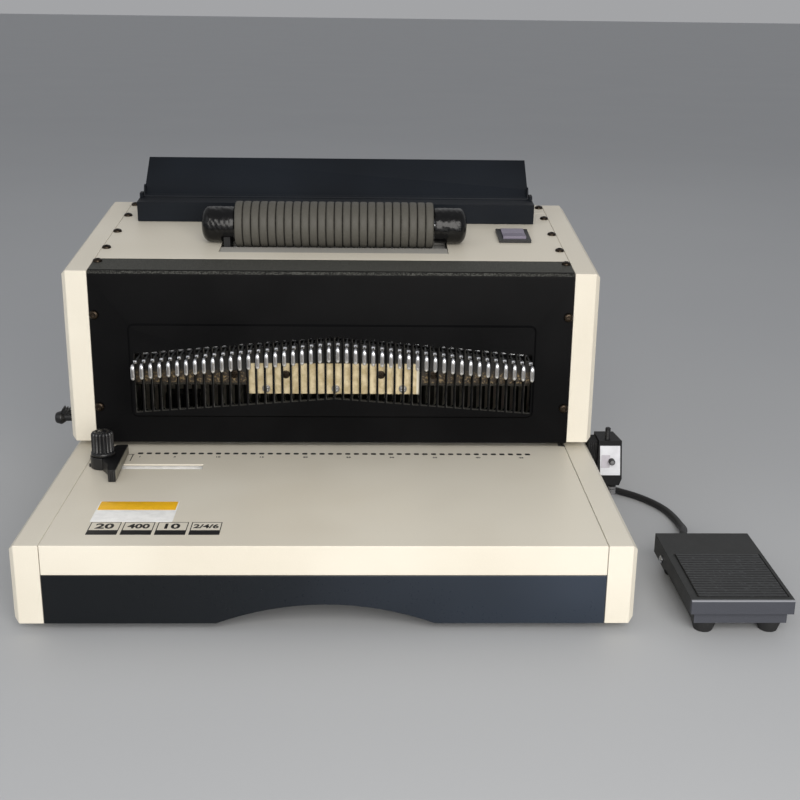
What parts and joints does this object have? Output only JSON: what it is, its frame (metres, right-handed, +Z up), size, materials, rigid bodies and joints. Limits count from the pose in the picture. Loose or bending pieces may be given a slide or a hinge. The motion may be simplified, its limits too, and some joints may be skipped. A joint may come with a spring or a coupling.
{
  "type": "coil binding machine",
  "caption": "Tabletop coil binding machine with a row of pull-pin punches, a powered coil roller, a side guide, a chip drawer and a foot pedal on a cord.",
  "frame": {"origin": "on the desk under the middle of the machine, its fittings included, the pedal and its cord left out", "axes": "+X to the right as seen from the front, +Y from the front edge to the back, +Z up"},
  "size_m": [0.4974, 0.4607, 0.2495],
  "materials": {
    "ivory_paint": "fine-textured ivory powder coat",
    "black_paint": "satin black powder coat",
    "gloss_black": "glossy blue-black",
    "black_plastic": "satin black moulding",
    "grey_rubber": "ribbed matt grey",
    "black_rubber": "matt black",
    "steel": "machined",
    "brass_bar": "machined",
    "grey_plastic": "satin grey",
    "pale_label": "smooth",
    "motor_paint": "satin",
    "circuit_board": "smooth"
  },
  "bodies": {
    "machine": {"base_side_cover_left": "ivory_paint", "base_side_cover_right": "ivory_paint", "table_plate": "ivory_paint", "tower_side_cover_left": "ivory_paint", "tower_side_cover_right": "ivory_paint", "top_cover": "ivory_paint", "rear_cover": "ivory_paint", "front_panel": "black_paint", "coil_rest_channel": "black_paint", "roller_housing_left": "black_plastic", "roller_housing_right": "black_plastic", "switch_bezel": "black_plastic", "control_box": "black_plastic", "power_inlet": "black_plastic", "pedal_base": "black_plastic", "pedal_cord_coil": "black_plastic", "pedal_cord_front": "black_plastic", "pedal_cord_rear": "black_plastic", "coil_tie": "black_plastic", "foot_front_left": "black_rubber", "foot_rear_left": "black_rubber", "foot_front_right": "black_rubber", "foot_rear_right": "black_rubber", "roller_belt": "black_rubber", "cord_gland": "black_rubber", "pedal_feet": "black_rubber", "pedal_strain_relief": "black_rubber", "base_plate": "steel", "guide_rail": "steel", "die_block": "steel", "stripper_plate": "steel", "side_frame_left": "steel", "side_frame_right": "steel", "pedal_pin": "steel", "roller_well": "grey_plastic", "control_faceplate": "pale_label", "gear_motor": "motor_paint", "roller_motor": "motor_paint", "control_board": "circuit_board"},
    "drawer": {"chip_drawer": "gloss_black"},
    "beam": {"punch_beam": "brass_bar", "punches": "steel"},
    "pins_1": {"pull_pins_1": "steel"},
    "pins_2": {"pull_pins_2": "steel"},
    "pins_3": {"pull_pins_3": "steel"},
    "pins_4": {"pull_pins_4": "steel"},
    "eccentric": {"eccentric_shaft": "steel"},
    "guide": {"side_guide": "black_plastic"},
    "guide_clamp": {"guide_knob": "black_plastic"},
    "margin_knob": {"depth_knob": "black_plastic"},
    "stop": {"back_stop": "steel"},
    "roller": {"roller_sleeve": "grey_rubber", "roller_shaft": "steel"},
    "drive_pulley": {"motor_pulley": "steel"},
    "flap": {"coil_rest_flap": "black_paint"},
    "rocker": {"switch_rocker": "grey_plastic"},
    "speed": {"speed_knob": "black_plastic"},
    "start": {"start_button": "black_plastic"},
    "pedal": {"pedal_plate": "black_plastic", "pedal_mat": "black_rubber"}
  },
  "joints": [
    {"name": "drawer_slide", "type": "slide", "parent": "machine", "child": "drawer", "axis": [0, -1, 0], "range_m": [0, 0.15]},
    {"name": "eccentric_turn", "type": "hinge", "parent": "machine", "child": "eccentric", "pos_m": [0, 0.025, 0.128], "axis": [1, 0, 0], "range_deg": [0, 180]},
    {"name": "punch_stroke", "type": "slide", "parent": "machine", "child": "beam", "axis": [0, 0, -1], "range_m": [0, 0.01]},
    {"name": "pull_pins_1_slide", "type": "slide", "parent": "beam", "child": "pins_1", "axis": [0, -1, 0], "range_m": [0, 0.007]},
    {"name": "pull_pins_2_slide", "type": "slide", "parent": "beam", "child": "pins_2", "axis": [0, -1, 0], "range_m": [0, 0.007]},
    {"name": "pull_pins_3_slide", "type": "slide", "parent": "beam", "child": "pins_3", "axis": [0, -1, 0], "range_m": [0, 0.007]},
    {"name": "pull_pins_4_slide", "type": "slide", "parent": "beam", "child": "pins_4", "axis": [0, -1, 0], "range_m": [0, 0.007]},
    {"name": "side_guide_slide", "type": "slide", "parent": "machine", "child": "guide", "axis": [1, 0, 0], "range_m": [0, 0.062]},
    {"name": "guide_knob_turn", "type": "hinge", "parent": "guide", "child": "guide_clamp", "pos_m": [-0.1629, -0.057, 0.07], "axis": [0, 0, 1], "continuous": true},
    {"name": "margin_knob_turn", "type": "hinge", "parent": "machine", "child": "margin_knob", "pos_m": [-0.1981, 0.012, 0.073], "axis": [1, 0, 0], "range_deg": [0, 180]},
    {"name": "back_stop_slide", "type": "slide", "parent": "machine", "child": "stop", "axis": [0, 1, 0], "range_m": [0, 0.004]},
    {"name": "roller_spin", "type": "hinge", "parent": "machine", "child": "roller", "pos_m": [0, 0.05398, 0.21111], "axis": [1, 0, 0], "continuous": true},
    {"name": "motor_pulley_spin", "type": "hinge", "parent": "machine", "child": "drive_pulley", "pos_m": [-0.0531, 0.06003, 0.15252], "axis": [1, 0, 0], "continuous": true},
    {"name": "flap_tilt", "type": "hinge", "parent": "machine", "child": "flap", "pos_m": [0, 0.12678, 0.22075], "axis": [1, 0, 0], "range_deg": [-30, 50]},
    {"name": "rocker_tilt", "type": "hinge", "parent": "machine", "child": "rocker", "pos_m": [0.1346, 0.07301, 0.19911], "axis": [1, 0, 0], "range_deg": [-8, 8]},
    {"name": "speed_knob_turn", "type": "hinge", "parent": "machine", "child": "speed", "pos_m": [0.2051, -0.014, 0.0463], "axis": [0, 1, 0], "range_deg": [-140, 140]},
    {"name": "start_button_press", "type": "slide", "parent": "machine", "child": "start", "axis": [0, 0, -1], "range_m": [0, 0.002], "stiffness_N_per_m": 200, "springref_m": -0.002},
    {"name": "pedal_press", "type": "hinge", "parent": "machine", "child": "pedal", "pos_m": [0.2529, -0.1195, 0.016], "axis": [1, 0, 0], "range_deg": [0, 3.5], "stiffness_Nm_per_rad": 2, "springref_deg": -5.73}
  ],
  "couplings": [
    {"joint": "eccentric_turn", "follows": "punch_stroke", "rad_per_m": 314.16},
    {"joint": "margin_knob_turn", "follows": "back_stop_slide", "rad_per_m": 785.4},
    {"joint": "motor_pulley_spin", "follows": "roller_spin", "ratio": 1}
  ]
}
